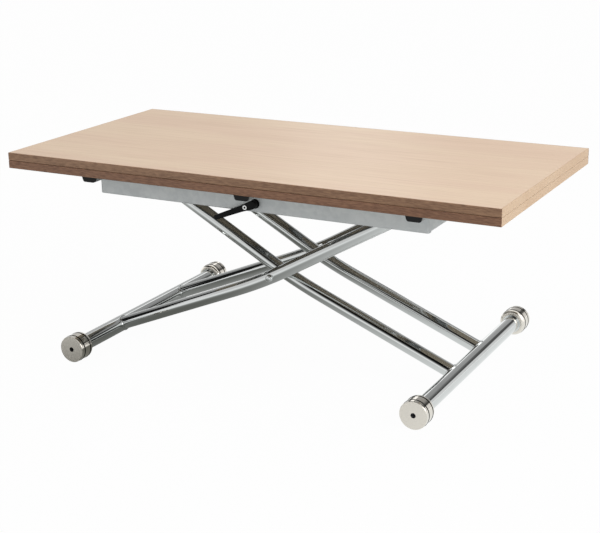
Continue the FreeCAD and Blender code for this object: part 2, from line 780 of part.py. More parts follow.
def hub(label, x, side):
    """Turned wheel with two ring grooves, a rounded inner shoulder and a wall that the axle screw holds."""
    body = doc.addObject("PartDesign::Body", "Wheel")
    drawing = sketch(body, "XY_Plane", "WheelSection")
    rim = "(wheel_diameter / 2 - wheel_ring_proud)"
    floor = "(wheel_diameter / 2 - wheel_ring_section)"
    recess = "(axle_head_diameter / 2 + side_clearance)"
    shank = "(axle_screw_diameter / 2 + side_clearance)"
    bore = "axle_bore / 2"
    seat = "axle_head_sink + axle_head_height + side_clearance"
    step = f"{seat} + hub_wall"
    outline = [(bore, step), (shank, step), (shank, seat), (recess, seat), (recess, "0"), (rim, "0")]
    for centre in ("wheel_ring_inset", "wheel_ring_inset + wheel_ring_spacing"):
        low, high = f"{centre} - wheel_ring_section / 2", f"{centre} + wheel_ring_section / 2"
        outline += [(rim, low), (floor, low), (floor, high), (rim, high)]
    outline += [(rim, "wheel_width"), (bore, "wheel_width")]
    polygon(drawing, outline)
    turned = spin(body, drawing)
    rim_radius, width = amount(rim), amount("wheel_width")

    def on_rim(edge):
        return isinstance(edge.Curve, Part.Circle) and near(edge.Curve.Radius, rim_radius)

    shoulder = round_edges(body, turned, "wheel_shoulder",
                           lambda edge, middle: on_rim(edge) and near(middle.y, width))
    round_edges(body, shoulder, "wheel_face_ease", lambda edge, middle: on_rim(edge) and near(middle.y, 0))
    turn = FreeCAD.Rotation(FreeCAD.Vector(0, 0, 1), 0 if side == FRONT else 180)
    return node(label, place(body, (x, f"{side} * wheel_track / 2", "axle_height"), turn))


def wheel_rings(label, x, side):
    rings = []
    for inset in ("wheel_ring_inset", "(wheel_ring_inset + wheel_ring_spacing)"):
        ring = doc.addObject("Part::Torus", "Ring")
        bind(ring, Radius1="(wheel_diameter - wheel_ring_section) / 2", Radius2="wheel_ring_section / 2")
        rings.append(place(ring, (x, f"{side} * (wheel_track / 2 - {inset})", "axle_height"), TURNS["Y"]))
    return node(label, group(*rings))


def axle(label, x):
    """Rod through the foot tube, tapped at both ends for the screws that hold the wheels."""
    def at(y):
        return (x, y, "axle_height")

    rod = cylinder("axle_diameter", "axle_span", at("-1 * axle_span / 2"), "Y")
    screws = []
    for side in (FRONT, BACK):
        face = "(wheel_track / 2 - axle_head_sink)"
        head_low = f"-1 * {face}" if side == FRONT else f"{face} - axle_head_height"
        shank_low = f"-1 * {face}" if side == FRONT else "axle_span / 2 - axle_screw_depth"
        head = cylinder("axle_head_diameter", "axle_head_height", at(head_low), "Y")
        shank = cylinder("axle_screw_diameter", "screw_reach + axle_screw_depth", at(shank_low), "Y")
        socket = doc.addObject("Part::Prism", "Socket")
        bind(socket, Circumradius="hex_socket_width / 2 / cos(30 deg)",
             Height="hex_socket_depth + cut_overrun")
        socket_low = f"-1 * {face} - cut_overrun" if side == FRONT else f"{face} - hex_socket_depth"
        place(socket, at(socket_low), TURNS["Y"])
        screws.append(cut(fuse(head, shank), socket))
    tapped = [
        cylinder("axle_screw_diameter", "axle_screw_depth", at(low), "Y")
        for low in ("-1 * axle_span / 2", "axle_span / 2 - axle_screw_depth")
    ]
    node(f"{label}_axle_rod", cut(rod, *tapped))
    node(f"{label}_axle_screws", group(*screws))


def foot(label, x):
    """Foot tube with a collared bush in each end for the axle rod."""
    def at(y):
        return (x, y, "axle_height")

    node(f"{label}_foot_tube", tube("foot_diameter", "foot_diameter - 2 * foot_wall", "foot_length",
                                    at("-1 * foot_length / 2"), "Y"))
    bushes = []
    for side in (FRONT, BACK):
        plug_low = "-1 * foot_length / 2" if side == FRONT else "foot_length / 2 - bush_depth"
        collar_low = "-1 * foot_length / 2 - collar_thickness" if side == FRONT else "foot_length / 2"
        plug = cylinder("foot_diameter - 2 * foot_wall", "bush_depth", at(plug_low), "Y")
        collar = cylinder("collar_diameter", "collar_thickness", at(collar_low), "Y")
        bushes.append(cut(fuse(plug, collar), drill("axle_bore", "foot_length + 2 * collar_thickness",
                                                    at("-1 * foot_length / 2 - collar_thickness"), "Y")))
    node(f"{label}_foot_bushes", group(*bushes))


def make_feet():
    for label, x in (("left", "left_axle"), ("right", "right_axle")):
        foot(label, x)
        axle(label, x)
        for place_name, side in (("front", FRONT), ("rear", BACK)):
            hub(f"{label}_{place_name}_wheel", x, side)
            wheel_rings(f"{label}_{place_name}_wheel_rings", x, side)


# Locking gas spring and its release

def make_gas_spring():
    """Cylinder with an eye on the carriage shaft, and the rod that a block holds on the fixed shaft."""
    def at(x):
        return (x, "0", "shaft_height")

    start = "carriage_shaft + gas_setback"
    bore = "gas_diameter - 2 * gas_wall"
    barrel = cut(cylinder("gas_diameter", "gas_length", at(start), "X"),
                 cylinder(bore, "gas_length - gas_gland + cut_overrun", at(f"{start} - cut_overrun"), "X"),
                 drill("gas_rod_diameter + 2 * running_clearance", "gas_length", at(start), "X"))
    node("gas_cylinder", barrel)
    eye_low = ("carriage_shaft", "-1 * gas_eye_width / 2", "shaft_height")
    ring = cylinder("gas_eye_diameter", "gas_eye_width", eye_low, "Y")
    neck = cylinder("gas_neck_diameter", "gas_setback", at("carriage_shaft"), "X")
    plug = cylinder(bore, "gas_plug", at(start), "X")
    eye_bore = drill("shaft_bore", "gas_eye_width", eye_low, "Y")
    node("gas_cylinder_eye", cut(fuse(ring, neck, plug), eye_bore))
    piston_middle = "fixed_shaft - gas_rod_reach"
    piston = cylinder(f"{bore} - 2 * piston_play", "piston_length",
                      at(f"{piston_middle} - piston_length / 2"), "X")
    rod = cylinder("gas_rod_diameter", "gas_rod_reach - head_front + rod_seat", at(piston_middle), "X")
    node("gas_rod", fuse(piston, rod))

    block = box("head_length", "head_width", "head_height",
                ("head_left", "-1 * head_width / 2", "shaft_height - head_height / 2"))
    lug_side = "(release_lane + release_lug_length / 2)"
    lug = box("release_lug_length", f"{lug_side} - head_width / 2", "release_lug_height",
              ("head_left", f"-1 * {lug_side}", "release_height - release_lug_height / 2"))
    shaft_hole = drill("shaft_diameter", "head_width",
                       ("fixed_shaft", "-1 * head_width / 2", "shaft_height"), "Y")
    rod_hole = cylinder("gas_rod_diameter", "rod_seat + cut_overrun", at("head_left - cut_overrun"), "X")
    lug_hole = drill("release_rod_diameter + 2 * running_clearance", "release_lug_length",
                     ("head_left", "-1 * release_lane", "release_height"), "X")
    node("release_head", cut(fuse(block, lug), shaft_hole, rod_hole, lug_hole))


def make_release():
    """Lever on the front rail, its shaft with a crank, and the rod that the crank pulls."""
    def at(y):
        return ("lever_offset", y, "shaft_height")

    seat = cylinder("lever_bush_diameter", "rail_wall + track_wall", at("-1 * frame_width / 2"), "Y")
    rim = cylinder("lever_bush_flange", "lever_bush_rim", at("-1 * frame_width / 2 - lever_bush_rim"), "Y")
    bush_bore = drill("lever_shaft_diameter + 2 * running_clearance",
                      "rail_wall + track_wall + lever_bush_rim",
                      at("-1 * frame_width / 2 - lever_bush_rim"), "Y")
    node("lever_bush", cut(fuse(seat, rim), bush_bore))

    crank_front = "(release_lane + release_eye_width / 2 + side_clearance + crank_thickness)"
    shaft_front = "(lever_front + lever_boss_depth / 2)"
    shaft = cylinder("lever_shaft_diameter", f"{shaft_front} - {crank_front} + crank_thickness",
                     at(f"-1 * {shaft_front}"), "Y")
    arm = box("crank_width", "crank_thickness", "crank_radius",
              ("lever_offset - crank_width / 2", f"-1 * {crank_front}", "release_height"))
    pin_low = ("lever_offset", f"-1 * {crank_front}", "release_height")
    end = cylinder("crank_width", "crank_thickness", pin_low, "Y")
    web = cylinder("crank_width", "crank_thickness", at(f"-1 * {crank_front}"), "Y")
    pin = cylinder("crank_pin_diameter", "crank_thickness + 2 * side_clearance + release_eye_width",
                   pin_low, "Y")
    node("lever_shaft", fuse(shaft, arm, end, web, pin))

    eye_front = "-1 * release_lane - release_eye_width / 2"
    eye = box("release_eye_length", "release_eye_width", "release_eye_height",
              ("lever_offset - release_eye_length / 2", eye_front,
               "release_height - release_eye_height / 2"))
    rod_start = "lever_offset + release_eye_length / 2"
    rod = cylinder("release_rod_diameter", f"head_left + 2 * release_lug_length - ({rod_start})",
                   (rod_start, "-1 * release_lane", "release_height"), "X")
    slot_width = "crank_pin_diameter + 2 * crank_slot_play"
    slot = box(slot_width, "release_eye_width + 2 * cut_overrun", f"{slot_width} + crank_slot_rise",
               (f"lever_offset - ({slot_width}) / 2", f"{eye_front} - cut_overrun",
                f"release_height - ({slot_width}) / 2"))
    node("release_rod", cut(fuse(eye, rod), slot))
    make_lever()


def make_lever():
    """Hand lever drawn about its boss with the arm along -X, then turned down by its droop."""
    body = doc.addObject("PartDesign::Body", "Lever")
    drawing = sketch(body, "XZ_Plane", "LeverOutline")
    half = [
        ("0", "lever_boss_diameter / 2"),
        ("-1 * lever_shoulder_run", "lever_shoulder_width / 2"),
        ("-1 * lever_neck_run", "lever_neck_width / 2"),
        ("-1 * (lever_length - lever_tip_width / 2)", "lever_tip_width / 2"),
    ]
    polygon(drawing, half + [(x, f"-1 * {z}") for x, z in reversed(half)])
    pad(body, drawing, "lever_arm_depth")
    boss = sketch(body, "XZ_Plane", "BossOutline")
    circle(boss, "lever_boss_diameter")
    pad(body, boss, "lever_boss_depth")
    tip = sketch(body, "XZ_Plane", "TipOutline")
    circle(tip, "lever_tip_width", x="-1 * (lever_length - lever_tip_width / 2)")
    pad(body, tip, "lever_arm_depth")
    middle = "-1 * (lever_front + lever_boss_depth / 2)"
    place(body, ("lever_offset", middle, "shaft_height"), FreeCAD.Rotation(FreeCAD.Vector(0, -1, 0), 1))
    body.setExpression("Placement.Rotation.Angle", formula("lever_droop"))
    socket = cylinder("lever_shaft_diameter", "lever_boss_depth",
                      ("lever_offset", middle, "shaft_height"), "Y")
    screw_x = "lever_offset - lever_screw_run * cos(lever_droop * 1 deg)"
    screw_z = "shaft_height - lever_screw_run * sin(lever_droop * 1 deg)"
    face = f"{middle} - lever_arm_depth / 2"
    head = cylinder("lever_screw_diameter", "lever_screw_height",
                    (screw_x, f"{face} - lever_screw_height / 2", screw_z), "Y")
    hollow = cylinder("lever_screw_hollow", "lever_screw_height",
                      (screw_x, f"{face} - lever_screw_height", screw_z), "Y")
    screw = node("lever_screw", cut(head, hollow))
    node("release_lever", cut(body, socket, screw))


def write_parts():
    """Checks every object, then writes one file for each sub-part."""
    doc.recompute()
    for obj in doc.Objects:
        if "Invalid" in obj.State or "Error" in obj.State:
            raise RuntimeError(f"{obj.Name} ({obj.Label}) failed: {obj.State}")
    for obj in NODES:
        if obj.Shape.isNull() or not obj.Shape.isValid():
            raise RuntimeError(f"{obj.Label} has no valid shape")
    os.makedirs("parts", exist_ok=True)
    for obj in NODES:
        obj.Shape.exportStep(f"parts/{obj.Label}.step")
        print(f"{obj.Label}: {len(obj.Shape.Solids)} solids, {obj.Shape.Volume / 1000:.1f} cm3")


make_top()
make_frame()
make_legs()
make_feet()
make_gas_spring()
make_release()
write_parts()
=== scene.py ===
import math

import bmesh
import bpy
from mathutils import Matrix, Vector


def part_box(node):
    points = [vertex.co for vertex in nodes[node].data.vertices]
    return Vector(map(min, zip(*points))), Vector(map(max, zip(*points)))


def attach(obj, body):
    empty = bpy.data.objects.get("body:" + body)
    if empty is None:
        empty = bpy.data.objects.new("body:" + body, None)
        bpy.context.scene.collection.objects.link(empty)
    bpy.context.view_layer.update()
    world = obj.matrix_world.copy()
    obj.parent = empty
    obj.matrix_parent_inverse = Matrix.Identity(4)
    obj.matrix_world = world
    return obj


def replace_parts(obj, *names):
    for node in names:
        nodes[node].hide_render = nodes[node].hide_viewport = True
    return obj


# Looks of a coffee table that lifts to dining height: a double oak top, a grey steel frame and
# crossed chrome legs on wheeled feet. Metres, X along the top, Y to the back, Z up.

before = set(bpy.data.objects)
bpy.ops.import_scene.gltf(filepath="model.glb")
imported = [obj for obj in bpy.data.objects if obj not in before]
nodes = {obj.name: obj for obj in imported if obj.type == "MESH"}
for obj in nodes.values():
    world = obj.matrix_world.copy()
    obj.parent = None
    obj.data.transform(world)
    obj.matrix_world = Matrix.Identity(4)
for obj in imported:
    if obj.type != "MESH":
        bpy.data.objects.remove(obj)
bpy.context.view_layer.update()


# Shader expressions

class Wire:
    """A socket of a node tree, or the bare tree to start from. Arithmetic on it adds Math nodes, and
    node() adds any other node."""

    def __init__(self, tree, socket=None):
        self.tree = tree
        self.socket = socket

    def node(self, kind, settings=None, out=0, **inputs):
        """Adds a node with its settings, then gives its sockets values or links."""
        made = self.tree.nodes.new(kind)
        for name, value in (settings or {}).items():
            if name == "stops":
                fill_ramp(made.color_ramp, value)
            else:
                setattr(made, name, value)
        for name, value in inputs.items():
            join(self.tree, value, find_socket(made.inputs, name))
        return Wire(self.tree, made.outputs[out])

    def math(self, operation, first, second):
        return self.node("ShaderNodeMath", {"operation": operation}, Value=first, Value_001=second)

    def __add__(self, other):
        return self.math("ADD", self, other)

    def __radd__(self, other):
        return self.math("ADD", other, self)

    def __sub__(self, other):
        return self.math("SUBTRACT", self, other)

    def __rsub__(self, other):
        return self.math("SUBTRACT", other, self)

    def __mul__(self, other):
        return self.math("MULTIPLY", self, other)

    def __rmul__(self, other):
        return self.math("MULTIPLY", other, self)

    def step(self, low, high):
        """0 below low and 1 above high, smooth between them."""
        return self.node("ShaderNodeMapRange", {"interpolation_type": "SMOOTHSTEP"},
                         Value=self, From_Min=low, From_Max=high)

    def blend(self, first, second):
        """A colour from first to second as this value goes from 0 to 1."""
        return self.node("ShaderNodeMix", {"data_type": "RGBA"}, out=2, Factor=self, A=first, B=second)

    def length(self):
        """The length of this vector."""
        return self.node("ShaderNodeVectorMath", {"operation": "LENGTH"}, out="Value", Vector=self)

    def part(self, axis):
        """The X, Y or Z of this vector."""
        return self.node("ShaderNodeSeparateXYZ", out=axis, Vector=self)

    def stretch(self, scale, shift=(0, 0, 0)):
        """These coordinates scaled along each axis, about a shifted origin."""
        return self.node("ShaderNodeMapping", Vector=self, Scale=scale, Location=shift)

    def noise(self, scale, detail=2.0, roughness=0.5, distortion=0.0):
        return self.node("ShaderNodeTexNoise", Vector=self, Scale=scale, Detail=detail,
                         Roughness=roughness, Distortion=distortion)

    def bump(self, distance, strength=1.0):
        """A surface normal roughened by this height."""
        return self.node("ShaderNodeBump", Height=self, Distance=distance, Strength=strength)


def find_socket(sockets, name):
    """The enabled socket with that identifier, or that name with spaces for underscores."""
    spaced = name.replace("_", " ")
    named = [socket for socket in sockets if socket.enabled and socket.name == spaced]
    exact = [socket for socket in sockets if socket.enabled and socket.identifier == name]
    return (exact or named)[0]


def join(tree, value, socket):
    """Links a wire to a socket, or sets the socket to a plain value."""
    if isinstance(value, Wire):
        tree.links.new(value.socket, socket)
    else:
        socket.default_value = value


def fill_ramp(ramp, stops):
    """Gives a colour ramp its stops, each a position and a colour."""
    while len(ramp.elements) < len(stops):
        ramp.elements.new(1)
    for element, (position, shade) in zip(ramp.elements, stops):
        element.position = position
        element.color = shade


def colour(red, green, blue):
    """A screen colour of 0 to 255 in the renderer's linear values."""
    parts = [part / 255 for part in (red, green, blue)]
    return (*[part / 12.92 if part <= 0.04045 else ((part + 0.055) / 1.055) ** 2.4 for part in parts], 1)


def shifted(shade, change):
    """A screen colour with all three parts raised or lowered."""
    return colour(*[part + change for part in shade])


def new_finish(name):
    """A material, its shader and its object coordinates."""
    material = bpy.data.materials.new(name)
    material.use_nodes = True
    tree = material.node_tree
    shader = tree.nodes["Principled BSDF"]
    place = Wire(tree).node("ShaderNodeTexCoord", out="Object")
    return material, shader, place


def dress(shader, **sockets):
    """Gives the shader's sockets values or links."""
    for name, value in sockets.items():
        join(shader.id_data, value, find_socket(shader.inputs, name))


def facing(place, axis):
    """How far a face looks along an axis, from -1 to 1."""
    return place.node("ShaderNodeNewGeometry", out="True Normal").part(axis)


def axle_radius(place, centre):
    """The distance from an axis along Y through the centre."""
    return place.stretch((1, 0, 1), (-centre.x, 0, -centre.z)).length()


# Finishes

def oak_decor(name, cream, rose, fibre_shade, backing, backing_band):
    """Light oak with broad bands, fine fibres and short pores along X, on a plain backing sheet."""
    material, shader, place = new_finish(name)
    bands = place.stretch((0.9, 5.0, 5.0)).noise(1.6, detail=3.0, distortion=0.4).step(0.35, 0.65)
    fibres = place.stretch((5.0, 170.0, 170.0)).noise(1.0, detail=4.0, roughness=0.6)
    pores = place.stretch((28.0, 900.0, 900.0)).noise(1.0, detail=2.0).step(0.62, 0.74)
    under = facing(place, "Z").step(-0.5, -0.9)
    ground = bands.blend(colour(*cream), colour(*rose))
    streaked = (fibres.step(0.38, 0.75) * 0.32).blend(ground, colour(*fibre_shade))
    grained = (pores * 0.22).blend(streaked, colour(*fibre_shade))
    sheet = bands.blend(colour(*backing), colour(*backing_band))
    dress(shader, Base_Color=under.blend(grained, sheet), Roughness=0.36 + 0.14 * fibres,
          Specular_IOR_Level=0.35, Normal=((fibres - pores * 0.6) * (1 - under)).bump(0.00012, 0.35))
    return material


def dark_edging(name, dark, light):
    """Brown edge strip with a short fine grain along its length."""
    material, shader, place = new_finish(name)
    grain = place.stretch((55.0, 420.0, 420.0)).noise(1.0, detail=4.0, roughness=0.65)
    broad = place.stretch((4.0, 60.0, 60.0)).noise(1.0, detail=2.0)
    tone = (grain * 0.75 + broad * 0.25).step(0.36, 0.66)
    dress(shader, Base_Color=tone.blend(colour(*dark), colour(*light)), Specular_IOR_Level=0.3,
          Roughness=0.42 + 0.16 * grain, Normal=grain.bump(0.00015, 0.5))
    return material


def galvanised_steel(name, dark, light):
    """Grey zinc with soft cloudy spangle and a few darker stains."""
    material, shader, place = new_finish(name)
    spangle = place.node("ShaderNodeTexVoronoi", {"feature": "SMOOTH_F1"}, out="Color",
                         Vector=place, Scale=95.0, Smoothness=0.6)
    flakes = spangle.node("ShaderNodeSeparateColor", Color=spangle)
    clouds = place.stretch((1.0, 1.0, 2.2)).noise(14.0, detail=5.0, roughness=0.62)
    stains = place.stretch((1.0, 1.0, 1.6)).noise(38.0, detail=3.0).step(0.6, 0.78)
    tone = (clouds * 0.75 + flakes * 0.25).step(0.25, 0.75)
    pale = tone.blend(colour(*dark), colour(*light))
    dress(shader, Base_Color=(stains * 0.2).blend(pale, shifted(dark, -24)), Metallic=0.3,
          Roughness=0.4 + 0.14 * clouds, Normal=clouds.bump(0.0001, 0.2))
    return material


def polished_chrome(name):
    """Mirror chrome with the faintest haze of handling."""
    material, shader, place = new_finish(name)
    haze = place.noise(26.0, detail=4.0, roughness=0.6).step(0.45, 0.8)
    dress(shader, Base_Color=haze.blend(colour(207, 209, 208), colour(200, 202, 201)), Metallic=1.0,
          Roughness=0.03 + 0.04 * haze)
    return material


def turned_nickel(name, centre):
    """Nickel turned on a lathe: a satin face with fine rings round the axle, and a polished rim."""
    material, shader, place = new_finish(name)
    rings_per_metre = 2600.0
    radius = axle_radius(place, centre)
    marks = radius.node("ShaderNodeTexNoise", {"noise_dimensions": "1D"},
                        W=radius * rings_per_metre, Scale=1.0, Detail=3.0)
    across = facing(place, "Y")
    face = (across * across).step(0.8, 0.98)
    dress(shader, Base_Color=marks.blend(colour(216, 211, 202), colour(230, 225, 216)), Metallic=1.0,
          Roughness=0.09 + face * (0.34 + 0.14 * marks), Normal=(marks * face).bump(0.00006, 0.4))
    return material


def moulded_black(name, shade, sheen, gloss=0.25):
    """Black moulding or paint with a fine even grain."""
    material, shader, place = new_finish(name)
    grain = place.noise(1500.0, detail=2.0)
    rubbed = place.noise(45.0, detail=4.0).step(0.5, 0.8)
    dress(shader, Base_Color=rubbed.blend(colour(*shade), shifted(shade, 10)), Specular_IOR_Level=gloss,
          Roughness=sheen + 0.12 * rubbed, Normal=grain.bump(0.00004, 0.35))
    return material


def plated_steel(name, dark, bright, sheen):
    """Plated steel, a little cloudy."""
    material, shader, place = new_finish(name)
    clouds = place.noise(120.0, detail=4.0, roughness=0.6)
    dress(shader, Base_Color=clouds.step(0.3, 0.7).blend(colour(*dark), colour(*bright)), Metallic=1.0,
          Roughness=sheen + 0.16 * clouds, Normal=clouds.bump(0.00004, 0.3))
    return material


def socket_screw(name, centre, hollow):
    """Bright screw head with its socket painted as a dark disc of shade of that radius, on an axis along
    Y.
    """
    material, shader, place = new_finish(name)
    # Painted shade: the socket's recess is a dark flat disc in the colour.
    outside = axle_radius(place, centre).step(0.9 * hollow, 1.1 * hollow)
    scratches = place.noise(900.0, detail=3.0)
    dress(shader, Base_Color=outside.blend(colour(24, 24, 25), colour(226, 226, 224)), Metallic=outside,
          Roughness=0.22 + 0.14 * scratches, Normal=scratches.bump(0.00003, 0.3))
    return material


def natural_nylon(name):
    """Pale nylon, a little cloudy."""
    material, shader, place = new_finish(name)
    clouds = place.noise(60.0, detail=4.0)
    dress(shader, Base_Color=clouds.step(0.3, 0.7).blend(colour(214, 210, 198), colour(232, 229, 219)),
          Roughness=0.42 + 0.14 * clouds, Normal=clouds.bump(0.00005, 0.3))
    return material


oak = oak_decor("oak_decor", cream=(226, 201, 174), rose=(223, 195, 170), fibre_shade=(192, 162, 134),
                backing=(198, 185, 165), backing_band=(184, 171, 152))
light_edge = oak_decor("light_edging", cream=(209, 180, 149), rose=(204, 173, 141),
                       fibre_shade=(180, 147, 112), backing=(150, 122, 98), backing_band=(184, 171, 152))
upper_brown = dark_edging("upper_dark_edging", (124, 93, 71), (165, 129, 101))
# Painted shade: the lower leaf's edging is the upper's brown painted darker.
lower_brown_painted_darker = dark_edging("lower_dark_edging_painted_shade", (112, 80, 61), (151, 112, 87))
zinc_frame = galvanised_steel("galvanised_steel", (196, 200, 201), (212, 215, 215))
# Painted shade: a darker copy of the galvanised finish for the tracks, crossbar and guides in the
# frame's shade.
zinc_in_painted_shade = galvanised_steel("zinc_in_painted_shade", (150, 152, 152), (168, 170, 169))
chrome = polished_chrome("polished_chrome")
black_moulding = moulded_black("black_moulding", (9, 9, 10), 0.4)
lever_black = moulded_black("lever_black", (5, 5, 6), 0.34, 0.12)
ring_rubber = moulded_black("ring_rubber", (7, 7, 7), 0.7, 0.1)
black_paint = moulded_black("black_paint", (26, 26, 28), 0.24)
bright_steel = plated_steel("bright_steel", (176, 177, 178), (208, 208, 206), 0.24)
black_oxide = plated_steel("black_oxide", (34, 34, 36), (52, 52, 54), 0.26)
hinge_steel = plated_steel("hinge_steel", (158, 153, 143), (186, 180, 170), 0.3)
nylon = natural_nylon("natural_nylon")

WHEELS = [f"{side}_{end}_wheel" for side in ("left", "right") for end in ("front", "rear")]
SOCKET_RADIUS = 0.0026
DRESSED = {
    oak: ["lower_leaf_board", "upper_leaf_board"],
    upper_brown: ["upper_long_edges"],
    lower_brown_painted_darker: ["lower_long_edges"],
    light_edge: ["lower_short_edges", "upper_short_edges"],
    zinc_frame: ["front_rail", "back_rail", "left_rail", "right_rail"],
    zinc_in_painted_shade: ["front_track", "back_track", "middle_crossbar", "left_guide", "middle_guide",
                "right_guide"],
    chrome: ["outer_leg_front", "outer_leg_rear", "inner_leg_front", "inner_leg_rear", "left_foot_tube",
             "right_foot_tube", "left_foot_bushes", "right_foot_bushes", "pivot_bolts", "pivot_spacers"],
    ring_rubber: [f"{wheel}_rings" for wheel in WHEELS],
    bright_steel: ["left_axle_rod", "right_axle_rod", "fixed_shaft", "carriage_shaft", "gas_rod",
                   "lever_shaft", "release_rod", "release_head", "guide_screws", "lower_leaf_screws",
                   "upper_hinge_screws"],
    black_oxide: ["left_axle_screws", "right_axle_screws"],
    hinge_steel: ["lower_hinge_plates", "upper_hinge_plates", "hinge_pins"],
    black_moulding: ["guide_end_caps", "lever_bush"],
    lever_black: ["release_lever"],
    nylon: ["runners", "front_roller", "rear_roller", "fixed_shaft_blocks"],
    black_paint: ["gas_cylinder", "gas_cylinder_eye"],
}


def wear(piece, material):
    """Gives a piece one finish all over."""
    piece.data.materials.clear()
    piece.data.materials.append(material)


def centre_of(name):
    """The middle of a node's box."""
    low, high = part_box(name)
    return (low + high) / 2


for material, names in DRESSED.items():
    for name in names:
        wear(nodes[name], material)
for wheel in WHEELS:
    wear(nodes[wheel], turned_nickel(f"{wheel}_nickel", centre_of(wheel)))
wear(nodes["lever_screw"], socket_screw("lever_screw_steel", centre_of("lever_screw"), SOCKET_RADIUS))


# Modelled pieces

LEVEL = 1e-5  # places that differ by less count as the same


def middle(item):
    """The middle of an edge or face, or a corner's own place."""
    corners = getattr(item, "verts", [item])
    return sum((corner.co for corner in corners), Vector()) / len(corners)


def pick(kind, wanted):
    """Selects the corners, edges or faces of the open mesh that are wanted."""
    bpy.ops.mesh.select_mode(type=kind)
    bpy.ops.mesh.select_all(action="DESELECT")
    mesh = bmesh.from_edit_mesh(bpy.context.object.data)
    for item in {"VERT": mesh.verts, "EDGE": mesh.edges, "FACE": mesh.faces}[kind]:
        if wanted(item):
            item.select_set(True)
    mesh.select_flush_mode()
    bmesh.update_edit_mesh(bpy.context.object.data)


def open_mesh():
    """Lays the new piece's place and turn into its mesh and opens that."""
    bpy.ops.object.transform_apply(location=True, rotation=True, scale=True)
    bpy.ops.object.mode_set(mode="EDIT")


def close_mesh(name, material, body):
    """Closes a finished piece, names and finishes it, and lets it ride on its body."""
    bpy.ops.mesh.select_all(action="SELECT")
    bpy.ops.mesh.normals_make_consistent(inside=False)
    bpy.ops.object.mode_set(mode="OBJECT")
    bpy.ops.object.shade_smooth_by_angle(angle=math.radians(40))
    piece = bpy.context.object
    piece.name = piece.data.name = name
    wear(piece, material)
    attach(piece, body)
    return piece


def copy_piece(piece):
    """A copy with its own mesh, opened with everything in it selected."""
    bpy.ops.object.select_all(action="DESELECT")
    piece.select_set(True)
    bpy.context.view_layer.objects.active = piece
    bpy.ops.object.duplicate()
    bpy.ops.object.mode_set(mode="EDIT")
    bpy.ops.mesh.select_all(action="SELECT")


LEG_RADIUS = 0.016
FOOT_RADIUS = 0.019
LEG_SLOPE = math.radians(22.376)
BEAD_RADIUS = 0.0026
BEAD_GAP = 0.0005
FEET = {
    "left": ("outer_legs", (-0.430, 0.133, 0.032), 0),
    "right": ("inner_legs", (0.436, 0.084, 0.032), math.pi),
}


def weld_shape():
    """Bead round a leg that stands on a foot tube along Y, its ring raised to the tube's saddle."""
    rings, same_turn = 48, 0.01
    bpy.ops.object.select_all(action="DESELECT")
    bpy.ops.mesh.primitive_torus_add(major_radius=LEG_RADIUS + BEAD_GAP, minor_radius=BEAD_RADIUS,
                                     major_segments=rings, minor_segments=12)
    open_mesh()
    quarter = [2 * math.pi * step / rings for step in range(rings // 4 + 1)]
    for turn in quarter:
        pick("VERT", lambda corner: (abs(math.atan2(abs(corner.co.y), abs(corner.co.x)) - turn)
                                     < same_turn))
        reach = math.sqrt(FOOT_RADIUS ** 2 - (LEG_RADIUS * math.cos(turn)) ** 2)
        bpy.ops.transform.translate(value=(0, 0, reach))
    bpy.ops.mesh.select_all(action="SELECT")
    bpy.ops.transform.rotate(value=LEG_SLOPE - math.pi / 2, orient_axis="Y", center_override=(0, 0, 0))
    bpy.ops.object.mode_set(mode="OBJECT")
    return bpy.context.object


def make_welds():
    """A weld bead at the foot of each leg. The right foot's legs lean the other way."""
    shape = weld_shape()
    for side, (body, (x, y, z), turn) in FEET.items():
        for end, across in (("front", -y), ("rear", y)):
            copy_piece(shape)
            bpy.ops.transform.rotate(value=turn, orient_axis="Z", center_override=(0, 0, 0))
            bpy.ops.transform.translate(value=(x, across, z))
            close_mesh(f"{side}_{end}_weld", chrome, body)
    bpy.data.objects.remove(shape)


def make_pivot_caps():
    """Domed caps pushed over the heads of the pivot bolts."""
    place = Vector((0.003, 0, 0.215))
    inside, outside, radius = -0.1466, -0.1565, 0.0085
    wall, hollow, dome = 0.0009, 0.0087, 0.0056
    bpy.ops.object.select_all(action="DESELECT")
    bpy.ops.mesh.primitive_cylinder_add(vertices=48, radius=radius, depth=inside - outside,
                                        location=(place.x, (inside + outside) / 2, place.z),
                                        rotation=(math.pi / 2, 0, 0))
    open_mesh()
    pick("FACE", lambda face: face.normal.y > 0.9)
    bpy.ops.mesh.inset(thickness=wall)
    bpy.ops.mesh.extrude_region_move(TRANSFORM_OT_translate={"value": (0, -hollow, 0)})
    pick("EDGE", lambda edge: abs(middle(edge).y - outside) < LEVEL)
    bpy.ops.mesh.bevel(offset=dome, segments=7, affect="EDGES")
    front = close_mesh("front_pivot_cap", chrome, "outer_legs")
    copy_piece(front)
    bpy.ops.transform.rotate(value=math.pi, orient_axis="Z", center_override=place)
    close_mesh("rear_pivot_cap", chrome, "outer_legs")


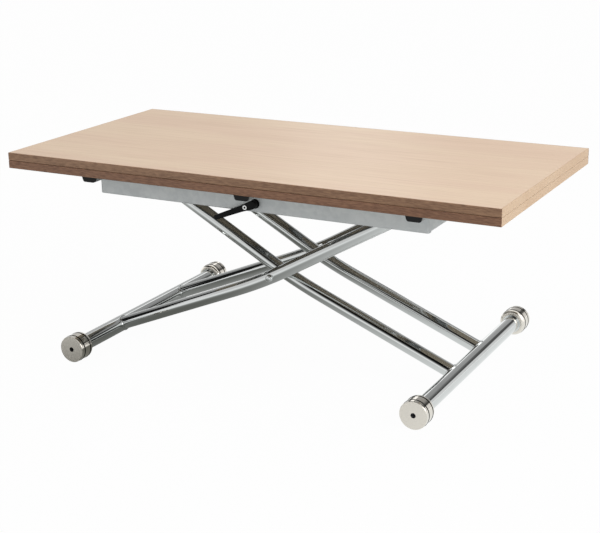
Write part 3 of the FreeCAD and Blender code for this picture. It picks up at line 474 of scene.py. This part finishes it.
def make_lever():
    """Hand lever drawn out of a block from boss to round tip, eased on all edges and turned down."""
    boss = Vector((0.0015, -0.2129, 0.403))
    droop = math.radians(22.5)
    # each section: how far it lies from the boss, its width and its depth
    sections = [(0.008, 0.0186, 0.013), (0.014, 0.0172, 0.010), (0.030, 0.0145, 0.010),
                (0.062, 0.0125, 0.010), (0.1075, 0.011, 0.010)]
    roundness = 0.98  # of the half width, so that a sliver of flat stays between the two arcs of an end
    run, width, depth = sections[0]
    boss_radius, tip_radius = width / 2, sections[-1][1] / 2
    bpy.ops.object.select_all(action="DESELECT")
    bpy.ops.mesh.primitive_cube_add(size=1.0, location=boss - Vector((run / 2, 0, 0)),
                                    scale=(run, depth, width))
    open_mesh()
    pick("FACE", lambda face: face.normal.x < -0.9)
    for far, wide, deep in sections[1:]:
        bpy.ops.mesh.extrude_region_move(TRANSFORM_OT_translate={"value": (run - far, 0, 0)})
        bpy.ops.transform.resize(value=(1, deep / depth, wide / width),
                                 center_override=boss - Vector((far, 0, 0)))
        run, width, depth = far, wide, deep
    pick("FACE", lambda face: face.normal.x > 0.9)
    bpy.ops.mesh.extrude_region_move(TRANSFORM_OT_translate={"value": (boss_radius, 0, 0)})
    for end, radius in ((boss.x + boss_radius, boss_radius), (boss.x - run, tip_radius)):
        pick("EDGE", lambda edge: (abs(middle(edge).x - end) < LEVEL
                                   and abs(edge.verts[0].co.y - edge.verts[1].co.y) > depth / 2))
        bpy.ops.mesh.bevel(offset=roundness * radius, segments=8, affect="EDGES")
    bpy.ops.mesh.select_all(action="SELECT")
    bpy.ops.transform.rotate(value=droop, orient_axis="Y", center_override=boss)
    bpy.ops.object.mode_set(mode="OBJECT")
    easing = bpy.context.object.modifiers.new("easing", "BEVEL")
    easing.width = 0.0014
    easing.segments = 3
    easing.angle_limit = math.radians(50)
    bpy.ops.object.modifier_apply(modifier=easing.name)
    bpy.ops.object.mode_set(mode="EDIT")
    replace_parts(close_mesh("lever_arm", lever_black, "release_lever"), "release_lever")


make_welds()
make_pivot_caps()
make_lever()


# Stage

FLOOR_DROP = 0.0005  # keeps the floor just under the wheels
FLOOR_SIZE = 40.0
FLOOR_WHITE = 0.97  # share of plain white in the floor that the camera sees, the rest shows the shadow
AMBIENT = 0.84  # light of the surround on the table
# Painted reflection: polished metal sees the surround, floor and cards brighter than the light they
# shed.
MIRROR_GAIN = 1.35  # brightness of what polished metal mirrors
# Strength at which the floor glows as painted bounce light on the table from below.
BOUNCE = 0.7  # light that the floor gives back upwards


def light_path(tree, *names):
    """1 for the rays of the named kinds."""
    first, *others = (Wire(tree).node("ShaderNodeLightPath", out=name) for name in names)
    for other in others:
        first = first.math("MAXIMUM", first, other)
    return first


def make_floor():
    """Pale floor, white to the camera but for a trace of shadow. Mirrors see a painted shadow on it, a
    pool of the table's shade, and it glows with that painted shade as bounce light on the table's
    underside, evenly."""
    bpy.ops.mesh.primitive_plane_add(size=FLOOR_SIZE, location=(0, 0, -FLOOR_DROP))
    floor = bpy.context.object
    floor.name = "floor"
    material, shader, spot = new_finish("pale_floor")
    tree = material.node_tree
    dress(shader, Base_Color=colour(214, 214, 214), Roughness=0.9, Specular_IOR_Level=0.0)
    # Painted shadow: a soft dark pool of the table's shade, set by place on the floor.
    pool = spot.node("ShaderNodeMapping", {"vector_type": "TEXTURE"}, Vector=spot,
                     Location=(-0.30, -0.17, 0), Rotation=(0, 0, math.radians(7)), Scale=(0.46, 0.63, 1))
    shade = pool.length().step(0.04, 1.84).blend(colour(96, 97, 93), colour(222, 224, 224))
    straight = light_path(tree, "Is Camera Ray", "Is Transmission Ray")
    mirrored = light_path(tree, "Is Glossy Ray")
    scattered = light_path(tree, "Is Diffuse Ray")
    bounced = mirrored + scattered
    # The floor glows though it is no lamp: a painted reflection for mirrors, painted bounce light for
    # the underside.
    painted_glow = bounced.node("ShaderNodeEmission", Color=bounced.blend((1, 1, 1, 1), shade),
                        Strength=1 + (MIRROR_GAIN - 1) * mirrored - (1 - BOUNCE) * scattered)
    share = straight.math("MAXIMUM", straight * FLOOR_WHITE, bounced)
    mixed = share.node("ShaderNodeMixShader", Fac=share, Shader=Wire(tree, shader.outputs["BSDF"]),
                       Shader_001=painted_glow)
    join(tree, mixed, tree.nodes["Material Output"].inputs["Surface"])
    floor.data.materials.append(material)


def make_world():
    """Plain white surround, pure white to the camera, with a painted brighter reflection in mirrors."""
    world = bpy.data.worlds.new("studio")
    bpy.context.scene.world = world
    world.use_nodes = True
    tree = world.node_tree
    sky = tree.nodes["Background"]
    sky.inputs["Color"].default_value = (1, 1, 1, 1)
    straight = light_path(tree, "Is Camera Ray", "Is Transmission Ray")
    mirrored = light_path(tree, "Is Glossy Ray")
    strength = AMBIENT + (1 - AMBIENT) * straight + (MIRROR_GAIN - AMBIENT) * mirrored
    join(tree, strength, sky.inputs["Strength"])


def mirror_card(name, azimuth, half_width, stops, reach=5.0, seen_from=(0, 0, 0.2)):
    """Glowing card, no lamp, that only polished metal mirrors: a painted reflection, at a heading and
    half width in degrees. Its painted grey follows the stops, each a height in degrees and a shade."""
    azimuth, half_width = math.radians(azimuth), math.radians(half_width)
    rises = [math.tan(math.radians(height)) for height, shade in stops]
    span = rises[-1] - rises[0]
    out = Vector((math.sin(azimuth), -math.cos(azimuth), 0)) * reach
    lift = Vector((0, 0, reach * (rises[0] + rises[-1]) / 2))
    bpy.ops.mesh.primitive_plane_add(size=1.0, location=Vector(seen_from) + out + lift)
    card = bpy.context.object
    card.name = name
    card.scale = (2 * reach * math.tan(half_width), reach * span, 1.0)
    card.rotation_euler = (-out).to_track_quat("Z", "Y").to_euler()
    card.visible_camera = card.visible_diffuse = card.visible_shadow = card.visible_transmission = False
    material, shader, spot = new_finish(name)
    up = spot.part("Y") + 0.5
    ramp = [((rise - rises[0]) / span, colour(shade, shade, shade))
            for rise, (height, shade) in zip(rises, stops)]
    dress(shader, Base_Color=(0, 0, 0, 1), Roughness=1.0, Specular_IOR_Level=0.0,
          Emission_Color=up.node("ShaderNodeValToRGB", {"stops": ramp}, Fac=up),
          Emission_Strength=MIRROR_GAIN)
    card.data.materials.append(material)


def softbox(name, place, aim, width, height, power):
    """Soft rectangular lamp turned towards its aim."""
    lamp = bpy.data.lights.new(name, "AREA")
    lamp.shape = "RECTANGLE"
    lamp.size, lamp.size_y = width, height
    lamp.energy = power
    holder = bpy.data.objects.new(name, lamp)
    bpy.context.scene.collection.objects.link(holder)
    holder.location = place
    holder.rotation_euler = (Vector(aim) - Vector(place)).to_track_quat("-Z", "Y").to_euler()


def make_camera():
    """The camera that the photograph's edges fit, with its slight roll."""
    azimuth, elevation, roll = (math.radians(angle) for angle in (27.797, 17.421, -0.703))
    back = Vector((math.sin(azimuth) * math.cos(elevation), -math.cos(azimuth) * math.cos(elevation),
                   math.sin(elevation)))
    camera = bpy.data.objects.new("camera", bpy.data.cameras.new("camera"))
    bpy.context.scene.collection.objects.link(camera)
    camera.data.sensor_width = 36.0
    camera.data.lens = 78.857
    camera.location = (1.3906, -2.6312, 1.1341)
    turn = (-back).to_track_quat("-Z", "Y").to_matrix() @ Matrix.Rotation(roll, 3, "Z")
    camera.rotation_euler = turn.to_euler()
    bpy.context.scene.camera = camera


make_floor()
make_world()
softbox("key", place=(3.6, -0.7, 2.1), aim=(0.3, 0.0, 0.4), width=1.8, height=1.8, power=70.0)
# Painted reflections: glowing cards, seen only in polished metal, that set the light and dark bands in
# the chrome.
mirror_card("front_card", -12, 36,
            [(0, 232), (8, 222), (16, 170), (24, 92), (30, 34), (45, 12), (75, 8)])
mirror_card("left_flag", -67, 19,
            [(0, 212), (6, 226), (15, 240), (18, 200), (22, 26), (46, 12), (75, 8)])
mirror_card("left_card", -100, 14, [(14, 134), (50, 134)])
mirror_card("back_left_card", -133, 19, [(0, 150), (8, 165), (20, 186), (50, 180)])
mirror_card("back_card", 185, 15, [(0, 176), (5, 176), (12, 188), (20, 166), (30, 150), (50, 142)])
mirror_card("back_mid_card", 161, 9,
            [(0, 200), (10, 205), (14, 190), (17, 66), (24, 90), (30, 140), (50, 142)])
mirror_card("back_right_card", 142, 10, [(0, 206), (8, 214), (15, 210), (18, 46), (30, 72), (50, 90)])
mirror_card("left_sheet", -40, 25, [(21.8, 205), (43, 205)], reach=0.75, seen_from=(0.04, -0.03, 0))
mirror_card("left_dark_reflection", -90, 12.5, [(6.3, 26), (29, 26)], reach=0.9, seen_from=(0, -0.4, 0))
mirror_card("back_dark_reflection", 144, 14, [(-3, 14), (15, 18)], reach=0.75, seen_from=(-0.42, -0.15, 0.04))
make_camera()
bpy.context.scene.view_settings.view_transform = "Standard"
